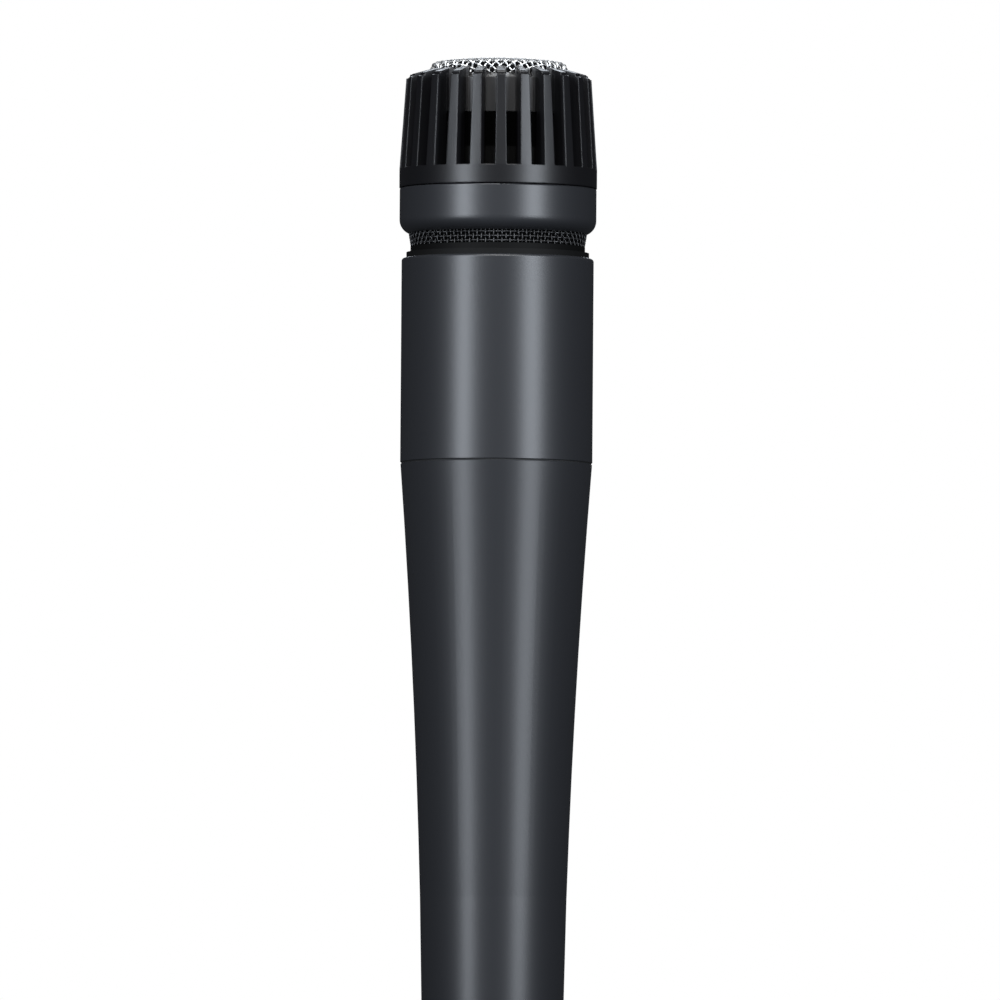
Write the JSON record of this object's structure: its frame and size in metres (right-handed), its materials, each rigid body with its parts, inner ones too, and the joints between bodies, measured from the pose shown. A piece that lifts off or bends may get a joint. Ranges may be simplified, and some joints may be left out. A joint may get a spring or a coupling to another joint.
{
  "type": "dynamic microphone",
  "caption": "Handheld dynamic instrument microphone: flared handle with a three-pin socket, smooth barrel, neck mesh and slotted grille under a woven steel cap.",
  "frame": {"origin": "centre of the handle's flat end face, at the socket mouth", "axes": "+Z along the microphone towards the grille; -Y faces the viewer; +X to the viewer's right"},
  "size_m": [0.032, 0.032, 0.16],
  "materials": {
    "enamel": "dark grey satin enamel with a fine grain",
    "collar_paint": "dark grey satin enamel",
    "cage_plastic": "black moulded plastic with a satin skin",
    "frame_plastic": "black moulded plastic",
    "neck_mesh": "fine black mesh",
    "mesh_steel": "woven steel wire",
    "nickel": "satin nickel plate",
    "contact": "silvered contacts",
    "spring_brass": "rolled strip",
    "thread_brass": "turned brass",
    "screw_steel": "blackened steel",
    "core_steel": "stacked laminations",
    "motor_steel": "plated soft iron",
    "magnet_alloy": "cast magnet alloy",
    "copper": "enamelled copper wire",
    "bobbin_plastic": "moulded nylon",
    "insulator": "black moulded insulator",
    "board": "brown laminated board",
    "film": "thin clear film",
    "foam": "open-cell dark foam",
    "felt": "thin black felt",
    "gasket_rubber": "black rubber",
    "mount_rubber": "soft black rubber",
    "lead_plain": "black sleeved wire",
    "lead_white": "white sleeved wire",
    "lead_green": "green sleeved wire",
    "lead_red": "red sleeved wire",
    "lead_black": "black sleeved wire"
  },
  "bodies": {
    "handle": {"handle_shell": "enamel", "xlr_sleeve": "nickel", "xlr_insert": "insulator", "xlr_pin_ground": "contact", "xlr_pin_hot": "contact", "xlr_pin_cold": "contact", "ground_strip": "spring_brass", "lock_screw": "screw_steel", "transformer_core": "core_steel", "transformer_bobbin": "bobbin_plastic", "transformer_winding": "copper", "pad_lower": "foam", "pad_upper": "foam", "lead_ground": "lead_plain", "lead_hot": "lead_white", "lead_cold": "lead_green", "lead_red": "lead_red", "lead_black": "lead_black"},
    "gasket": {"seam_gasket": "gasket_rubber"},
    "barrel": {"barrel_shell": "enamel", "thread_nipple": "thread_brass", "shock_mount": "mount_rubber"},
    "cartridge": {"cartridge_frame": "frame_plastic", "cartridge_collar": "collar_paint", "rear_entry_mesh": "neck_mesh", "rear_entry_cloth": "felt", "magnet_cup": "motor_steel", "magnet": "magnet_alloy", "pole_piece": "motor_steel", "top_plate": "motor_steel", "front_plate": "frame_plastic", "front_cloth": "felt", "terminal_board": "board", "terminal_red": "contact", "terminal_black": "contact", "lead_socket": "insulator", "diaphragm_surround": "film"},
    "diaphragm": {"diaphragm_dome": "film", "voice_coil": "copper"},
    "grille": {"grille_cage": "cage_plastic", "grille_mesh": "mesh_steel", "mesh_ring": "mesh_steel", "foam_disc": "foam"}
  },
  "joints": [
    {"name": "unscrew_lift", "type": "slide", "parent": "handle", "child": "gasket", "axis": [0, 0, 1], "range_m": [0, 0.006], "deforming": ["lead_red", "lead_black"]},
    {"name": "unscrew_turn", "type": "hinge", "parent": "gasket", "child": "barrel", "pos_m": [0, 0, 0.0943], "axis": [0, 0, 1], "range_deg": [0, 1440]},
    {"name": "shock_travel", "type": "slide", "parent": "barrel", "child": "cartridge", "axis": [0, 0, 1], "range_m": [-0.0005, 0.0003], "stiffness_N_per_m": 4000, "springref_m": 0.00015, "deforming": ["shock_mount"]},
    {"name": "diaphragm_travel", "type": "slide", "parent": "cartridge", "child": "diaphragm", "axis": [0, 0, 1], "range_m": [-0.00025, 0.00025], "stiffness_N_per_m": 500, "deforming": ["diaphragm_surround"]},
    {"name": "grille_spin", "type": "hinge", "parent": "cartridge", "child": "grille", "pos_m": [0, 0, 0.1404], "axis": [0, 0, 1], "continuous": true}
  ],
  "couplings": [
    {"joint": "unscrew_lift", "follows": "unscrew_turn", "m_per_rad": 0.00023873}
  ]
}
